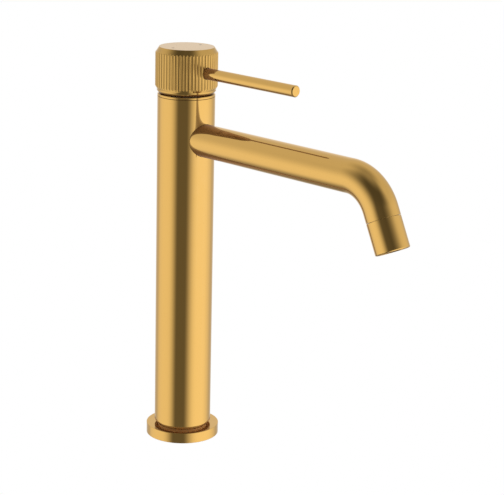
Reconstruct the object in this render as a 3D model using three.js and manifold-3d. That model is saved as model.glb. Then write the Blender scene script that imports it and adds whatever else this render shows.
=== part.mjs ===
// Tall single-lever basin mixer, in millimetres. The origin is the centre of the underside, on the deck.
// +Z is up, the spout and the lever point towards -Y, hot is on -X and cold on +X.
import * as THREE from "three";
import { mergeVertices } from "three/addons/utils/BufferGeometryUtils.js";
import Module from "manifold-3d";

const wasm = await Module();
wasm.setup();

// Clearances between neighbouring pieces.
const FIT = 0.3;
const PIN_FIT = 0.2;
const THROUGH = 2;

// Column and foot.
const COLUMN_R = 22.5;
const COLUMN_WALL = 2.5;
const COLUMN_BOTTOM = 11.1;
const COLUMN_TOP = 276.5;
const FLANGE_R = 29;
const FLANGE_H = 8.4;
const FLANGE_EDGE = 0.3;
const SEAL_GROOVE_DEPTH = 1.5;
const SEAL_GROOVE_WIDTH = 3;
const SEAL_GROOVE_INSET = 2;
const FOOT_H = 32;
const ORING_Z = 21.5;
const ORING_T = 0.65;
const BORE_R = COLUMN_R - COLUMN_WALL;
const CORE_R = BORE_R - FIT;

// Supply: two threaded ports in the foot, two riser tubes up to the valve block, two stud holes.
const PORT_X = 8.5;
const PORT_Y = 4;
const PORT_R = 4.6;
const PORT_DEPTH = 14;
const RISER_R = 4;
const RISER_BORE_R = 3;
const RISER_SOCKET = 14;
const STUD_R = 3.4;
const STUD_DEPTH = 14;
const STUD_YS = [-11.5, 13];

// Spout.
const SPOUT_R = 12.75;
const SPOUT_WALL = 1.5;
const SPOUT_DROP = 32.1;
const SPOUT_STRAIGHT = 177;
const BEND_R = 32.7;
const BEND_ANGLE = THREE.MathUtils.degToRad(64.9);
const BEND_STEPS = 10;
const TAIL = 7.3;
const SPIGOT_R = 8;
const SPIGOT_BORE_R = 6.3;
const SPIGOT_SHARE = 0.72;
const SPOUT_SEAL_T = 1.2;
const SPOUT_SEAL_W = 2;
const SPOUT_Z = COLUMN_TOP - SPOUT_DROP;
const POCKET_R = SPOUT_R + FIT;
const SEAT_Y = 1 - Math.sqrt(BORE_R ** 2 - POCKET_R ** 2);
const SPIGOT_END_Y = SEAT_Y * (1 - SPIGOT_SHARE);

// Aerator at the spout's mouth. Its lengths are measured along the flow from the spout's end.
const AERATOR_LEN = 23.7;
const AERATOR_SPIGOT = 6;
const AERATOR_LIP = 0.6;
const AERATOR_SHELF = 12;
const AERATOR_WALL = 3.1;
const AERATOR_MOUTH_WALL = 1.3;
const AERATOR_BORE_R = SPOUT_R - AERATOR_WALL;
const AERATOR_SEAT_R = SPOUT_R - AERATOR_MOUTH_WALL;
const WASHER_LIP = 1;
const WASHER_T = 1;
const SCREEN_T = 0.5;
const SCREEN_INSET = 0.7;
const INSERT_HOLES = 6;
const INSERT_HOLE_SHARE = 0.2;
const INSERT_HOLE_REACH = 0.58;
const SCREEN_HOLE_R = 1.1;
const SCREEN_PITCH = 3.6;
const SCREEN_HOLE_SIDES = 8;

// Valve block and cartridge, stacked down from the column's top.
const SEAT_DEPTH = 14.5;
const BLOCK_SKIRT = 5.65;
const SEAT_Z = COLUMN_TOP - SEAT_DEPTH;
const BLOCK_BOTTOM = SPOUT_Z - SPOUT_R - BLOCK_SKIRT;
const RISER_BORE_STOP = 6;
const CROSS_PORT_DEPTH = 12;
const OUTLET_PORT_R = 3;
const CARTRIDGE_BORE_R = 10;
const CROSS_PORT_R = 0.22 * CARTRIDGE_BORE_R;
const CROSS_PORT_X = 0.52 * CARTRIDGE_BORE_R;
const CROSS_PORT_Y = 0.26 * CARTRIDGE_BORE_R;
const OUTLET_PORT_Y = -0.58 * CARTRIDGE_BORE_R;
const CROSS_PORTS = {
  hot: [-CROSS_PORT_X, CROSS_PORT_Y],
  cold: [CROSS_PORT_X, CROSS_PORT_Y],
  outlet: [0, OUTLET_PORT_Y],
};
const CARTRIDGE_NECK_R = CARTRIDGE_BORE_R + 1.3;
const CARTRIDGE_FLANGE_R = CARTRIDGE_BORE_R + 3.5;
const CARTRIDGE_FLANGE_H = 4.7;
const CARTRIDGE_RISE = 23.7;
const CARTRIDGE_TOP = COLUMN_TOP + CARTRIDGE_RISE;
const CARTRIDGE_LIP = 1.7;
const CARTRIDGE_MOUTH_R = CARTRIDGE_BORE_R - 1.5;
const PORT_SEAL_R = 0.31 * CARTRIDGE_BORE_R;
const PORT_SEAL_T = 1.2;
const BASE_H = 8.2;
const FIXED_DISC_H = 3.5;
const MOVING_DISC_H = 3;
const MOVING_DISC_R = 0.66 * CARTRIDGE_BORE_R;
const MIXING_CHAMBER_R = 0.36 * CARTRIDGE_BORE_R;
const CARRIER_R = 0.73 * CARTRIDGE_BORE_R;
const CARRIER_FLAT = 0.67 * CARTRIDGE_BORE_R;
const CARRIER_H = 9.6;
const NUT_H = 4.2;
const NUT_NOTCHES = 4;
const NUT_NOTCH_W = 3.5;
const HOUSING_Z = SEAT_Z + FIT;
const FIXED_DISC_Z = HOUSING_Z + BASE_H + FIT;
const MOVING_DISC_Z = FIXED_DISC_Z + FIXED_DISC_H + FIT;
const CARRIER_Z = MOVING_DISC_Z + MOVING_DISC_H + FIT;
const NUT_Z = HOUSING_Z + CARTRIDGE_FLANGE_H + FIT;

// Lever mechanism. The lift pivot sits high, so that the cap's rear rim swings down and inwards.
const PIVOT_RISE = 21.5;
const PIVOT_Z = COLUMN_TOP + PIVOT_RISE;
const ARM = 13;
const BALL_R = 2.7;
const BALL_SOCKET_ROOM = 0.8;
const ARM_R = 2;
const BALL_REST_Y = 0.225 * CARTRIDGE_BORE_R;
const STEM_W = 5.2;
const STEM_PIN_R = 1.2;
const STEM_PIN_HALF = 0.72 * CARTRIDGE_BORE_R;
const STEM_BELOW_PIVOT = 2.2;
const ROTOR_DEPTH = 9.8;
const ROTOR_BOTTOM = PIVOT_Z - ROTOR_DEPTH;
const ROTOR_SLOT_Y = 5.6;
const ROTOR_SLOT_W = STEM_W + 0.8;

// Trim ring on the column's top.
const RING_SKIRT_DEPTH = 4.2;
const RING_SKIRT_T = 0.8;
const COUNTERBORE_DEPTH = 1.5;
const COUNTERBORE_R = COLUMN_R - COUNTERBORE_DEPTH;
const RING_BOTTOM = COLUMN_TOP + FIT;
const RING_H = 2;
const RING_TOP = COLUMN_TOP + RING_H;
const RING_EDGE = 1;
const RING_CHAMFER = 0.7;
const RING_LAND = 0.65;
const RING_MOUTH_DEPTH = 1.5;

// Knurled handle cap.
const CAP_R = COLUMN_R + 1.77;
const CAP_BOTTOM = COLUMN_TOP + 2.8;
const CAP_TOP = COLUMN_TOP + 38.3;
const CAP_RIM_R = CAP_R - 2.67;
const CAP_BAND_R = CAP_R - 1.3;
const CAP_FACE_R = CAP_R - 2.87;
const CAP_CAVITY_R = CAP_R - 4.47;
const CAP_CEILING = COLUMN_TOP + 30.3;
const CAP_SOCKET_TOP = COLUMN_TOP + 35.5;
const RIM_CHAMFER_H = 1.7;
const BAND_H = 1.3;
const LOWER_CHAMFER_H = 2.5;
const UPPER_CHAMFER_H = 4.4;
const FLUTES = 54;
const FLUTE_DEPTH = 0.65;

// Lever pin, grub screw and index dots.
const LEVER_Z = COLUMN_TOP + 20.2;
const LEVER_R = 4.4;
const LEVER_TIP = 119.8;
const LEVER_EDGE = 0.7;
const LEVER_SEAT = 2.5;
const LEVER_SPIGOT_R = 2.7;
const GRUB_R = 2;
const GRUB_LEN = 6;
const GRUB_KEY_R = 1.1;
const GRUB_KEY_DEPTH = 2.5;
const GRUB_KEY_SIDES = 6;
const GRUB_Z = COLUMN_TOP + 32.8;
const PLUG_LEN = 4.5;
const DOT_R = 1;
const DOT_X = 14;
const DOT_T = 0.5;

const FINE = 48;
const MEDIUM = 32;
const SMALL = 14;
const SEAL_STEPS = 8;

const FINISHES = {
  gold: { color: 0xd9b06a, roughness: 0.32, metalness: 1 },
  brass: { color: 0xc09a52, roughness: 0.45, metalness: 1 },
  copper: { color: 0xb56f47, roughness: 0.4, metalness: 1 },
  steel: { color: 0xb8bcc0, roughness: 0.35, metalness: 1 },
  plastic: { color: 0xe4e3dc, roughness: 0.55, metalness: 0 },
  ceramic: { color: 0xf3f1ea, roughness: 0.2, metalness: 0 },
  rubber: { color: 0x1d1d1f, roughness: 0.85, metalness: 0 },
  hot: { color: 0x8f5a3a, roughness: 0.5, metalness: 0 },
  cold: { color: 0x5a6d80, roughness: 0.5, metalness: 0 },
};

// Solid helpers.

function solidOf(geometry) {
  const bare = geometry.index ? geometry.toNonIndexed() : geometry.clone();
  bare.deleteAttribute("normal");
  bare.deleteAttribute("uv");
  const merged = mergeVertices(bare, 1e-4);
  return new wasm.Manifold(
    new wasm.Mesh({
      numProp: 3,
      vertProperties: merged.attributes.position.array,
      triVerts: new Uint32Array(merged.index.array),
    }),
  );
}

function geometryOf(solid) {
  const mesh = solid.getMesh();
  const geometry = new THREE.BufferGeometry();
  geometry.setAttribute("position", new THREE.BufferAttribute(mesh.vertProperties, 3));
  geometry.setIndex(new THREE.BufferAttribute(mesh.triVerts, 1));
  return geometry;
}

// A turned body about Z. The profile runs anticlockwise in (radius, height).
function turned(profile, segments = FINE) {
  const points = profile.map(([r, z]) => new THREE.Vector2(r, z));
  return new THREE.LatheGeometry(points, segments).rotateX(Math.PI / 2);
}

function ringProfile(inner, outer, z0, z1) {
  return [[inner, z0], [outer, z0], [outer, z1], [inner, z1], [inner, z0]];
}

function ring(inner, outer, z0, z1, segments = FINE) {
  return turned(ringProfile(inner, outer, z0, z1), segments);
}

function rod(radius, z0, z1, segments = SMALL) {
  return turned([[0, z0], [radius, z0], [radius, z1], [0, z1]], segments);
}

// A rod upright at (x, y).
function rodAt(x, y, radius, z0, z1, segments = SMALL) {
  return rod(radius, z0, z1, segments).translate(x, y, 0);
}

// A rod along Y at height z, between y0 and y1.
function rodAlongY(z, radius, y0, y1, segments = SMALL) {
  return rod(radius, y0, y1, segments).rotateX(-Math.PI / 2).translate(0, 0, z);
}

function box(width, depth, height, x, y, z) {
  return new THREE.BoxGeometry(width, depth, height).translate(x, y, z);
}

function cut(body, ...tools) {
  return tools.reduce((left, tool) => left.subtract(solidOf(tool)), solidOf(body));
}

function roundSection(radius, thickness, z, steps) {
  const profile = [];
  for (let i = 0; i <= steps; i += 1) {
    const a = (2 * Math.PI * i) / steps;
    profile.push([radius + thickness * Math.cos(a), z + thickness * Math.sin(a)]);
  }
  return profile;
}

// Path helpers: the spout's centreline and its frame at the mouth.

function spoutBendPoint(angle) {
  return new THREE.Vector3(
    0,
    -(SPOUT_STRAIGHT + BEND_R * Math.sin(angle)),
    SPOUT_Z - BEND_R * (1 - Math.cos(angle)),
  );
}

function spoutDirection(angle) {
  return new THREE.Vector3(0, -Math.cos(angle), -Math.sin(angle));
}

const SPOUT_END = spoutBendPoint(BEND_ANGLE).addScaledVector(spoutDirection(BEND_ANGLE), TAIL);

// Lays a body turned about Z with +Z along the flow, its zero at the spout's end.
function alongMouth(geometry) {
  const turn = new THREE.Quaternion().setFromUnitVectors(
    new THREE.Vector3(0, 0, 1),
    spoutDirection(BEND_ANGLE),
  );
  return geometry.applyQuaternion(turn).translate(SPOUT_END.x, SPOUT_END.y, SPOUT_END.z);
}

// A closed skin through a loop of circles, each { centre, direction, radius }.
function loopSkin(circles, segments) {
  const side = new THREE.Vector3(1, 0, 0);
  const positions = [];
  for (const { centre, direction, radius } of circles) {
    const up = new THREE.Vector3().crossVectors(side, direction);
    for (let i = 0; i < segments; i += 1) {
      const a = (2 * Math.PI * i) / segments;
      const point = centre
        .clone()
        .addScaledVector(side, radius * Math.cos(a))
        .addScaledVector(up, radius * Math.sin(a));
      positions.push(point.x, point.y, point.z);
    }
  }
  const index = [];
  for (let c = 0; c < circles.length; c += 1) {
    const here = c * segments;
    const next = ((c + 1) % circles.length) * segments;
    for (let i = 0; i < segments; i += 1) {
      const j = (i + 1) % segments;
      index.push(here + i, next + j, here + j);
      index.push(here + i, next + i, next + j);
    }
  }
  const geometry = new THREE.BufferGeometry();
  geometry.setAttribute("position", new THREE.Float32BufferAttribute(positions, 3));
  geometry.setIndex(index);
  return geometry;
}

// Column and foot pieces.

function baseFlange() {
  const inner = CORE_R + FIT;
  const grooveOut = FLANGE_R - SEAL_GROOVE_INSET;
  const grooveIn = grooveOut - SEAL_GROOVE_WIDTH;
  return turned([
    [inner, 0],
    [grooveIn, 0],
    [grooveIn, SEAL_GROOVE_DEPTH],
    [grooveOut, SEAL_GROOVE_DEPTH],
    [grooveOut, 0],
    [FLANGE_R - FLANGE_EDGE, 0],
    [FLANGE_R, FLANGE_EDGE],
    [FLANGE_R, FLANGE_H - FLANGE_EDGE],
    [FLANGE_R - FLANGE_EDGE, FLANGE_H],
    [inner, FLANGE_H],
    [inner, 0],
  ]);
}

function baseSeal() {
  const outer = FLANGE_R - SEAL_GROOVE_INSET - FIT;
  return ring(outer - SEAL_GROOVE_WIDTH + 2 * FIT, outer, 0, SEAL_GROOVE_DEPTH - FIT);
}

function footBlock() {
  const grooveR = CORE_R - 2 * ORING_T - FIT;
  const body = turned([
    [0, 0],
    [CORE_R, 0],
    [CORE_R, ORING_Z - ORING_T - FIT],
    [grooveR, ORING_Z - ORING_T - FIT],
    [grooveR, ORING_Z + ORING_T + FIT],
    [CORE_R, ORING_Z + ORING_T + FIT],
    [CORE_R, FOOT_H],
    [0, FOOT_H],
  ]);
  const tools = STUD_YS.map((y) => rodAt(0, y, STUD_R, -THROUGH, STUD_DEPTH));
  for (const x of [-PORT_X, PORT_X]) {
    tools.push(rodAt(x, PORT_Y, PORT_R, -THROUGH, PORT_DEPTH));
    tools.push(rodAt(x, PORT_Y, RISER_BORE_R, PORT_DEPTH - 1, FOOT_H));
    tools.push(rodAt(x, PORT_Y, RISER_R + FIT, FOOT_H - RISER_SOCKET, FOOT_H + THROUGH));
  }
  return geometryOf(cut(body, ...tools));
}

function footSeal() {
  return turned(roundSection(CORE_R - ORING_T, ORING_T, ORING_Z, SEAL_STEPS), FINE);
}

function bodyColumn() {
  const counterbore = COLUMN_TOP - RING_SKIRT_DEPTH - FIT;
  const body = turned([
    [BORE_R, COLUMN_BOTTOM],
    [COLUMN_R, COLUMN_BOTTOM],
    [COLUMN_R, COLUMN_TOP],
    [COUNTERBORE_R, COLUMN_TOP],
    [COUNTERBORE_R, counterbore],
    [BORE_R, counterbore],
    [BORE_R, COLUMN_BOTTOM],
  ]);
  return geometryOf(cut(body, rodAlongY(SPOUT_Z, POCKET_R, -COLUMN_R - THROUGH, 0, MEDIUM)));
}

function riserTube(x) {
  const bottom = FOOT_H - RISER_SOCKET + FIT;
  const top = BLOCK_BOTTOM + RISER_SOCKET - FIT;
  return ring(RISER_BORE_R, RISER_R, bottom, top, SMALL).translate(x, PORT_Y, 0);
}

function valveBlock() {
  const body = rod(CORE_R, BLOCK_BOTTOM, SEAT_Z, FINE);
  const floor = SEAT_Y + FIT;
  const outside = -COLUMN_R - THROUGH;
  const tools = [
    rodAlongY(SPOUT_Z, POCKET_R, outside, floor, MEDIUM),
    rodAlongY(SPOUT_Z, SPIGOT_R + SPOUT_SEAL_W + FIT, outside, floor + SPOUT_SEAL_T + FIT, MEDIUM),
    rodAlongY(SPOUT_Z, SPIGOT_R + FIT, outside, SPIGOT_END_Y + FIT, MEDIUM),
    rodAt(...CROSS_PORTS.outlet, OUTLET_PORT_R, SPOUT_Z, SEAT_Z + THROUGH),
  ];
  for (const side of ["hot", "cold"]) {
    const x = Math.sign(CROSS_PORTS[side][0]) * PORT_X;
    const socketTop = BLOCK_BOTTOM + RISER_SOCKET;
    tools.push(rodAt(x, PORT_Y, RISER_R + FIT, BLOCK_BOTTOM - THROUGH, socketTop));
    tools.push(rodAt(x, PORT_Y, RISER_BORE_R, BLOCK_BOTTOM, SEAT_Z - RISER_BORE_STOP));
    tools.push(rodAt(...CROSS_PORTS[side], CROSS_PORT_R, SEAT_Z - CROSS_PORT_DEPTH, SEAT_Z + THROUGH));
  }
  return geometryOf(cut(body, ...tools));
}

// Spout pieces.

function spoutTube() {
  const inner = SPOUT_R - SPOUT_WALL;
  const ahead = spoutDirection(0);
  const at = (y) => new THREE.Vector3(0, y, SPOUT_Z);
  const bend = [];
  for (let i = 0; i <= BEND_STEPS; i += 1) {
    const angle = (BEND_ANGLE * i) / BEND_STEPS;
    bend.push({ centre: spoutBendPoint(angle), direction: spoutDirection(angle) });
  }
  bend.push({ centre: SPOUT_END, direction: spoutDirection(BEND_ANGLE) });
  const circles = [
    { centre: at(SPIGOT_END_Y), direction: ahead, radius: SPIGOT_R },
    { centre: at(SEAT_Y), direction: ahead, radius: SPIGOT_R },
    { centre: at(SEAT_Y), direction: ahead, radius: SPOUT_R },
    ...bend.map((b) => ({ ...b, radius: SPOUT_R })),
    ...bend.map((b) => ({ ...b, radius: inner })).reverse(),
    { centre: at(SEAT_Y - 2 * SPOUT_WALL), direction: ahead, radius: inner },
    { centre: at(SEAT_Y - 2 * SPOUT_WALL), direction: ahead, radius: SPIGOT_BORE_R },
    { centre: at(SPIGOT_END_Y), direction: ahead, radius: SPIGOT_BORE_R },
  ];
  return loopSkin(circles, MEDIUM);
}

function spoutSeal() {
  const inner = SPIGOT_R + FIT;
  const floor = SEAT_Y + FIT;
  return ring(inner, SPIGOT_R + SPOUT_SEAL_W, floor, floor + SPOUT_SEAL_T, MEDIUM)
    .rotateX(-Math.PI / 2)
    .translate(0, 0, SPOUT_Z);
}

function aeratorHousing() {
  const spigot = SPOUT_R - SPOUT_WALL - FIT;
  return alongMouth(
    turned(
      [
        [AERATOR_BORE_R, -AERATOR_SPIGOT],
        [spigot, -AERATOR_SPIGOT],
        [spigot, FIT],
        [SPOUT_R, FIT],
        [SPOUT_R, AERATOR_LEN - AERATOR_LIP],
        [SPOUT_R - AERATOR_LIP, AERATOR_LEN],
        [AERATOR_SEAT_R, AERATOR_LEN],
        [AERATOR_SEAT_R, AERATOR_SHELF],
        [AERATOR_BORE_R, AERATOR_SHELF],
        [AERATOR_BORE_R, -AERATOR_SPIGOT],
      ],
      MEDIUM,
    ),
  );
}

function aeratorWasher() {
  const z0 = AERATOR_SHELF + FIT;
  return alongMouth(ring(AERATOR_BORE_R - WASHER_LIP, AERATOR_SEAT_R - FIT, z0, z0 + WASHER_T, MEDIUM));
}

function aeratorInsert() {
  const outer = AERATOR_SEAT_R - FIT;
  const z0 = AERATOR_SHELF + WASHER_T + 2 * FIT;
  const z1 = AERATOR_LEN - SCREEN_INSET - SCREEN_T - FIT;
  const holeR = outer * INSERT_HOLE_SHARE;
  const tools = [rod(holeR, z0 - THROUGH, z1 + THROUGH)];
  for (let i = 0; i < INSERT_HOLES; i += 1) {
    const a = (2 * Math.PI * i) / INSERT_HOLES;
    const reach = outer * INSERT_HOLE_REACH;
    tools.push(rodAt(reach * Math.cos(a), reach * Math.sin(a), holeR, z0 - THROUGH, z1 + THROUGH));
  }
  return alongMouth(geometryOf(cut(rod(outer, z0, z1, MEDIUM), ...tools)));
}

function aeratorScreen() {
  const outer = AERATOR_SEAT_R - FIT;
  const z0 = AERATOR_LEN - SCREEN_INSET - SCREEN_T;
  const z1 = AERATOR_LEN - SCREEN_INSET;
  const tools = [];
  const rows = Math.floor(outer / SCREEN_PITCH);
  for (let i = -rows; i <= rows; i += 1) {
    for (let j = -rows; j <= rows; j += 1) {
      const x = SCREEN_PITCH * i;
      const y = SCREEN_PITCH * j;
      if (Math.hypot(x, y) > outer - 2 * SCREEN_HOLE_R) continue;
      tools.push(rodAt(x, y, SCREEN_HOLE_R, z0 - THROUGH, z1 + THROUGH, SCREEN_HOLE_SIDES));
    }
  }
  return alongMouth(geometryOf(cut(rod(outer, z0, z1, MEDIUM), ...tools)));
}

// Cartridge pieces.

function cartridgeHousing() {
  const flangeTop = HOUSING_Z + CARTRIDGE_FLANGE_H;
  return turned(
    [
      [CARTRIDGE_BORE_R, HOUSING_Z],
      [CARTRIDGE_FLANGE_R, HOUSING_Z],
      [CARTRIDGE_FLANGE_R, flangeTop],
      [CARTRIDGE_NECK_R, flangeTop],
      [CARTRIDGE_NECK_R, CARTRIDGE_TOP],
      [CARTRIDGE_MOUTH_R, CARTRIDGE_TOP],
      [CARTRIDGE_MOUTH_R, CARTRIDGE_TOP - CARTRIDGE_LIP],
      [CARTRIDGE_BORE_R, CARTRIDGE_TOP - CARTRIDGE_LIP],
      [CARTRIDGE_BORE_R, HOUSING_Z],
    ],
    MEDIUM,
  );
}

function cartridgeBase() {
  const top = HOUSING_Z + BASE_H;
  const tools = [];
  for (const [side, spot] of Object.entries(CROSS_PORTS)) {
    const radius = side === "outlet" ? CROSS_PORT_R + PIN_FIT : CROSS_PORT_R;
    tools.push(rodAt(...spot, radius, HOUSING_Z - THROUGH, top + THROUGH));
    tools.push(rodAt(...spot, PORT_SEAL_R + FIT, HOUSING_Z - THROUGH, HOUSING_Z + PORT_SEAL_T + FIT));
  }
  return geometryOf(cut(rod(CARTRIDGE_BORE_R - FIT, HOUSING_Z, top, MEDIUM), ...tools));
}

function portSeal(side) {
  return ring(CROSS_PORT_R + PIN_FIT, PORT_SEAL_R, HOUSING_Z, HOUSING_Z + PORT_SEAL_T, SMALL).translate(
    ...CROSS_PORTS[side],
    0,
  );
}

function fixedDisc() {
  const top = FIXED_DISC_Z + FIXED_DISC_H;
  const tools = Object.values(CROSS_PORTS).map((spot) =>
    rodAt(...spot, CROSS_PORT_R, FIXED_DISC_Z - THROUGH, top + THROUGH),
  );
  return geometryOf(cut(rod(CARTRIDGE_BORE_R - FIT, FIXED_DISC_Z, top, MEDIUM), ...tools));
}

function movingDisc() {
  const top = MOVING_DISC_Z + MOVING_DISC_H;
  const body = rod(MOVING_DISC_R, MOVING_DISC_Z, top, MEDIUM);
  const chamber = rod(MIXING_CHAMBER_R, MOVING_DISC_Z - THROUGH, MOVING_DISC_Z + MOVING_DISC_H / 2);
  return geometryOf(cut(body, chamber)).translate(0, BALL_REST_Y, 0);
}

function discCarrier() {
  const top = CARRIER_Z + CARRIER_H;
  const middle = (CARRIER_Z + top) / 2;
  const socketFloor = PIVOT_Z - ARM - BALL_R - BALL_SOCKET_ROOM;
  const body = solidOf(rod(CARRIER_R, CARRIER_Z, top, MEDIUM));
  const flats = solidOf(box(2 * CARRIER_FLAT, 3 * CARRIER_R, 2 * CARRIER_H, 0, 0, middle));
  const socket = solidOf(rod(BALL_R + FIT, socketFloor, top + THROUGH));
  return geometryOf(body.intersect(flats).subtract(socket)).translate(0, BALL_REST_Y, 0);
}

function cartridgeNut() {
  const top = NUT_Z + NUT_H;
  const body = ring(CARTRIDGE_NECK_R + FIT, CORE_R, NUT_Z, top);
  const notchDepth = NUT_H / 2;
  const notchEnd = CARTRIDGE_NECK_R + FIT + (CORE_R - CARTRIDGE_NECK_R) / 2;
  const tools = [];
  for (let i = 0; i < NUT_NOTCHES; i += 1) {
    const notch = box(notchEnd, NUT_NOTCH_W, 2 * notchDepth, notchEnd / 2, 0, top);
    tools.push(notch.rotateZ((2 * Math.PI * i) / NUT_NOTCHES));
  }
  return geometryOf(cut(body, ...tools));
}

function trimRing() {
  const skirtOut = COUNTERBORE_R - FIT;
  const skirtIn = skirtOut - RING_SKIRT_T;
  const topR = COLUMN_R - RING_CHAMFER;
  return turned([
    [skirtIn, COLUMN_TOP - RING_SKIRT_DEPTH],
    [skirtOut, COLUMN_TOP - RING_SKIRT_DEPTH],
    [skirtOut, RING_BOTTOM],
    [COLUMN_R, RING_BOTTOM],
    [COLUMN_R, RING_BOTTOM + RING_EDGE],
    [topR, RING_TOP],
    [topR - RING_LAND, RING_TOP],
    [skirtIn, RING_TOP - RING_MOUTH_DEPTH],
    [skirtIn, COLUMN_TOP - RING_SKIRT_DEPTH],
  ]);
}

// Turning pieces.

function stemRotor() {
  const shoulder = CARTRIDGE_TOP - CARTRIDGE_LIP - FIT;
  const outer = CARTRIDGE_BORE_R - FIT;
  const mouth = CARTRIDGE_MOUTH_R - FIT;
  const cheekBottom = CARRIER_Z + FIT;
  const profile = [
    [0, cheekBottom],
    [outer, cheekBottom],
    [outer, shoulder],
    [mouth, shoulder],
    [mouth, CARTRIDGE_TOP + PIN_FIT],
    [0, CARTRIDGE_TOP + PIN_FIT],
  ];
  const guideH = ROTOR_BOTTOM - cheekBottom + THROUGH;
  const guideZ = ROTOR_BOTTOM - guideH / 2;
  const guide = box(2 * (CARRIER_FLAT + FIT), 3 * outer, guideH, 0, 0, guideZ);
  const slot = box(ROTOR_SLOT_W, 2 * ROTOR_SLOT_Y, 8 * outer, 0, 0, PIVOT_Z);
  const pinHole = rod(STEM_PIN_R + PIN_FIT, -2 * outer, 2 * outer).rotateY(Math.PI / 2);
  return geometryOf(cut(turned(profile, MEDIUM), guide, slot, pinHole.translate(0, 0, PIVOT_Z)));
}

function stemPin() {
  return rod(STEM_PIN_R, -STEM_PIN_HALF, STEM_PIN_HALF)
    .rotateY(Math.PI / 2)
    .translate(0, 0, PIVOT_Z);
}

// Handle pieces.

function stem() {
  const bottom = PIVOT_Z - STEM_BELOW_PIVOT;
  const top = CAP_SOCKET_TOP - FIT;
  const shank = solidOf(box(STEM_W, STEM_W, top - bottom, 0, 0, (top + bottom) / 2));
  const lean = Math.atan2(BALL_REST_Y, ARM);
  const armLength = Math.hypot(BALL_REST_Y, ARM);
  const arm = solidOf(rod(ARM_R, -armLength, -1).rotateX(lean).translate(0, 0, PIVOT_Z));
  const ball = solidOf(
    new THREE.SphereGeometry(BALL_R, SMALL, SMALL / 2)
      .rotateX(Math.PI / 2)
      .translate(0, BALL_REST_Y, PIVOT_Z - ARM),
  );
  const hole = rod(STEM_PIN_R + FIT, -STEM_W, STEM_W).rotateY(Math.PI / 2).translate(0, 0, PIVOT_Z);
  return geometryOf(shank.add(arm).add(ball).subtract(solidOf(hole)));
}

// The fluted outline of the cap, seen from above. Shares are of one pitch.
function fluteOutline() {
  const shape = [
    [-0.25, 0],
    [0.25, 0],
    [0.32, 0.75],
    [0.5, 1],
    [0.68, 0.75],
  ];
  const points = [];
  for (let flute = 0; flute < FLUTES; flute += 1) {
    for (const [share, depth] of shape) {
      const a = (2 * Math.PI * (flute + share)) / FLUTES;
      const radius = CAP_R - FLUTE_DEPTH * depth;
      points.push(new THREE.Vector2(radius * Math.cos(a), radius * Math.sin(a)));
    }
  }
  return new THREE.Shape(points);
}

function capBlank() {
  const height = CAP_TOP - CAP_BOTTOM + 2 * THROUGH;
  const fluted = new THREE.ExtrudeGeometry(fluteOutline(), { depth: height, bevelEnabled: false });
  const bandZ = CAP_BOTTOM + RIM_CHAMFER_H;
  const envelope = turned([
    [0, CAP_BOTTOM],
    [CAP_RIM_R, CAP_BOTTOM],
    [CAP_BAND_R, bandZ],
    [CAP_BAND_R, bandZ + BAND_H],
    [CAP_R, bandZ + BAND_H + LOWER_CHAMFER_H],
    [CAP_R, CAP_TOP - UPPER_CHAMFER_H],
    [CAP_FACE_R, CAP_TOP],
    [0, CAP_TOP],
  ]);
  return solidOf(fluted.translate(0, 0, CAP_BOTTOM - THROUGH)).intersect(solidOf(envelope));
}

function handleCap() {
  const socket = STEM_W + 2 * FIT;
  const socketH = CAP_SOCKET_TOP - CAP_CEILING + THROUGH;
  const leverSeat = CAP_R - LEVER_SEAT + FIT;
  const tools = [
    rod(CAP_CAVITY_R, CAP_BOTTOM - THROUGH, CAP_CEILING, FINE),
    box(socket, socket, socketH, 0, 0, CAP_SOCKET_TOP - socketH / 2),
    rodAlongY(LEVER_Z, LEVER_R + FIT, -CAP_R - THROUGH, -leverSeat + 2 * FIT, MEDIUM),
    rodAlongY(LEVER_Z, LEVER_SPIGOT_R + FIT, -CAP_R, -CAP_CAVITY_R / 2),
    rodAlongY(GRUB_Z, GRUB_R + FIT, STEM_W / 4, CAP_R + THROUGH),
  ];
  for (const x of [-DOT_X, DOT_X]) {
    tools.push(rodAt(x, 0, DOT_R + FIT, CAP_TOP - DOT_T - FIT, CAP_TOP + THROUGH));
  }
  return geometryOf(tools.reduce((left, tool) => left.subtract(solidOf(tool)), capBlank()));
}

function leverPin() {
  const seat = CAP_R - LEVER_SEAT;
  const profile = [
    [0, CAP_CAVITY_R + FIT],
    [LEVER_SPIGOT_R, CAP_CAVITY_R + FIT],
    [LEVER_SPIGOT_R, seat],
    [LEVER_R, seat],
    [LEVER_R, LEVER_TIP - LEVER_EDGE],
    [LEVER_R - LEVER_EDGE, LEVER_TIP],
    [0, LEVER_TIP],
  ];
  return turned(profile, MEDIUM).rotateX(Math.PI / 2).translate(0, 0, LEVER_Z);
}

function grubScrew() {
  const inner = STEM_W / 2 + FIT;
  const outer = inner + GRUB_LEN;
  const body = rodAlongY(GRUB_Z, GRUB_R, inner, outer);
  const key = rodAlongY(GRUB_Z, GRUB_KEY_R, outer - GRUB_KEY_DEPTH, outer + THROUGH, GRUB_KEY_SIDES);
  return geometryOf(cut(body, key));
}

function grubPlug() {
  const outer = CAP_R - FLUTE_DEPTH;
  return rodAlongY(GRUB_Z, GRUB_R, outer - PLUG_LEN, outer - PIN_FIT);
}

function indexDot(x) {
  return rodAt(x, 0, DOT_R, CAP_TOP - DOT_T, CAP_TOP);
}

// Assembly.

const faucet = new THREE.Group();
faucet.name = "basin_mixer";

function add(name, finish, geometry) {
  const mesh = new THREE.Mesh(geometry, new THREE.MeshStandardMaterial(FINISHES[finish]));
  mesh.name = name;
  faucet.add(mesh);
}

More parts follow.
